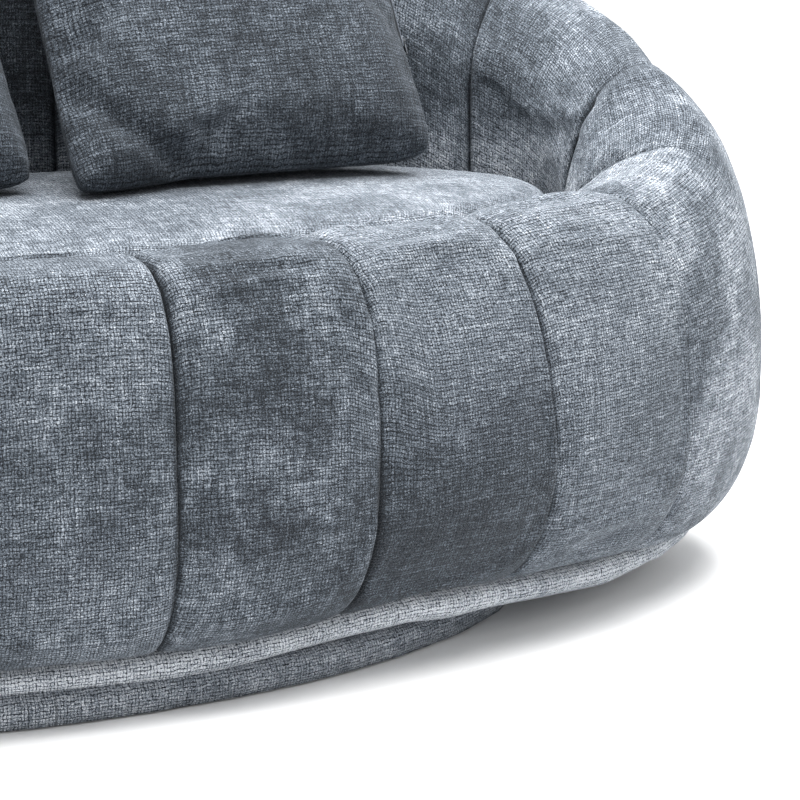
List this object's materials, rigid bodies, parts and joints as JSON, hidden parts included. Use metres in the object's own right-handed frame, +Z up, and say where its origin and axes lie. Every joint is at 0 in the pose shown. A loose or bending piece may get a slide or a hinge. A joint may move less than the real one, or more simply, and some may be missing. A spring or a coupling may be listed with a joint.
{
  "type": "bean bag chair",
  "caption": "Two-seat bean bag chair: a nest of stuffed upright lobes round a crowned seat, on a low base roll, with loose square throw pillows.",
  "frame": {"origin": "on the floor, under the middle of the chair", "axes": "+Z up, the front faces -Y, +X is the right side seen from the front, along the width"},
  "size_m": [1.7006, 0.917, 0.79],
  "materials": {
    "chenille": "slate blue-grey chenille, woven, brushed nap",
    "foam": "shredded and block polyurethane foam",
    "fibre": "polyester fibre in a thin white casing",
    "floor_cloth": "black non-slip cloth with raised dots",
    "zip_tape": "woven tape",
    "zip_teeth": "nylon coil",
    "zip_metal": "dull nickel plate"
  },
  "bodies": {
    "base": {"front_lobe_centre": "chenille", "front_lobe_right_1": "chenille", "front_lobe_right_2": "chenille", "front_lobe_right_3": "chenille", "front_lobe_left_1": "chenille", "front_lobe_left_2": "chenille", "front_lobe_left_3": "chenille", "arm_lobe_right_1": "chenille", "arm_lobe_right_2": "chenille", "arm_lobe_right_3": "chenille", "arm_lobe_left_1": "chenille", "arm_lobe_left_2": "chenille", "arm_lobe_left_3": "chenille", "back_lobe_right_1": "chenille", "back_lobe_right_2": "chenille", "back_lobe_right_3": "chenille", "back_lobe_right_4": "chenille", "back_lobe_left_1": "chenille", "back_lobe_left_2": "chenille", "back_lobe_left_3": "chenille", "back_lobe_left_4": "chenille", "lobe_fill_front": "foam", "lobe_fill_arm_right": "foam", "lobe_fill_arm_left": "foam", "lobe_fill_back_right": "foam", "lobe_fill_back_left": "foam", "seat_cover": "chenille", "seat_core": "foam", "lip_band": "chenille", "base_cover": "chenille", "base_fill": "foam", "floor_panel": "floor_cloth", "base_zip_tape": "zip_tape", "base_zip_chain": "zip_teeth"},
    "base_slider": {"base_zip_slider": "zip_metal"},
    "base_pull": {"base_zip_pull": "zip_metal"},
    "pillow_right": {"pillow_right_cover": "chenille", "pillow_right_insert": "fibre", "pillow_right_zip_tape": "zip_tape", "pillow_right_zip_chain": "zip_teeth"},
    "pillow_right_slider": {"pillow_right_zip_slider": "zip_metal"},
    "pillow_right_pull": {"pillow_right_zip_pull": "zip_metal"},
    "pillow_left": {"pillow_left_cover": "chenille", "pillow_left_insert": "fibre", "pillow_left_zip_tape": "zip_tape", "pillow_left_zip_chain": "zip_teeth"},
    "pillow_left_slider": {"pillow_left_zip_slider": "zip_metal"},
    "pillow_left_pull": {"pillow_left_zip_pull": "zip_metal"}
  },
  "joints": [
    {"name": "base_zip_run", "type": "hinge", "parent": "base", "child": "base_slider", "pos_m": [0, -0.34287, 0.019], "axis": [0, 0, 1], "range_deg": [0, 53]},
    {"name": "base_pull_swing", "type": "hinge", "parent": "base_slider", "child": "base_pull", "pos_m": [0.30778, 0.27443, 0.019], "axis": [0, 0, 1], "range_deg": [0, 150]},
    {"name": "pillow_right_lift", "type": "slide", "parent": "base", "child": "pillow_right", "axis": [0, -0.2588, 0.9659], "range_m": [0, 0.45]},
    {"name": "pillow_right_zip_run", "type": "slide", "parent": "pillow_right", "child": "pillow_right_slider", "axis": [-0.0696, 0.4951, 0.866], "range_m": [0, 0.13]},
    {"name": "pillow_right_pull_swing", "type": "hinge", "parent": "pillow_right_slider", "child": "pillow_right_pull", "pos_m": [0.47551, -0.00849, 0.55218], "axis": [0.1205, -0.8576, 0.5], "range_deg": [0, 150]},
    {"name": "pillow_left_lift", "type": "slide", "parent": "base", "child": "pillow_left", "axis": [0, -0.2588, 0.9659], "range_m": [0, 0.45]},
    {"name": "pillow_left_zip_run", "type": "slide", "parent": "pillow_left", "child": "pillow_left_slider", "axis": [-0.0778, 0.5537, 0.829], "range_m": [0, 0.13]},
    {"name": "pillow_left_pull_swing", "type": "hinge", "parent": "pillow_left_slider", "child": "pillow_left_pull", "pos_m": [-0.32912, -0.066, 0.54726], "axis": [-0.1154, 0.821, -0.5592], "range_deg": [0, 150]}
  ]
}
